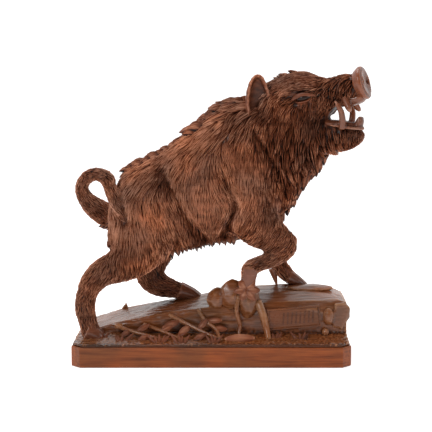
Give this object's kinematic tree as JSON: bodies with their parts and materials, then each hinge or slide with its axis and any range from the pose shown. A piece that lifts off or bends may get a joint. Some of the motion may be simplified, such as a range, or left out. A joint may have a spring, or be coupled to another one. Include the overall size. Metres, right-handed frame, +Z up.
{
  "type": "carved boar figure",
  "caption": "Carved walnut wild boar striding over a rocky ledge, head raised and turned, on a sawn plinth with canted corners",
  "frame": {"origin": "centre of the plinth's underside", "axes": "+X the way the boar faces, +Y away from the side from which the work is looked at, +Z up"},
  "size_m": [0.28, 0.12, 0.2751],
  "materials": {
    "walnut_carved": "dark stained and varnished, semi-gloss, worn lighter on the ridges",
    "walnut_plinth": "planed, varnished, semi-gloss, straight grain along the length"
  },
  "bodies": {
    "root": {"boar_and_rocks": "walnut_carved", "plinth": "walnut_plinth"}
  },
  "joints": []
}
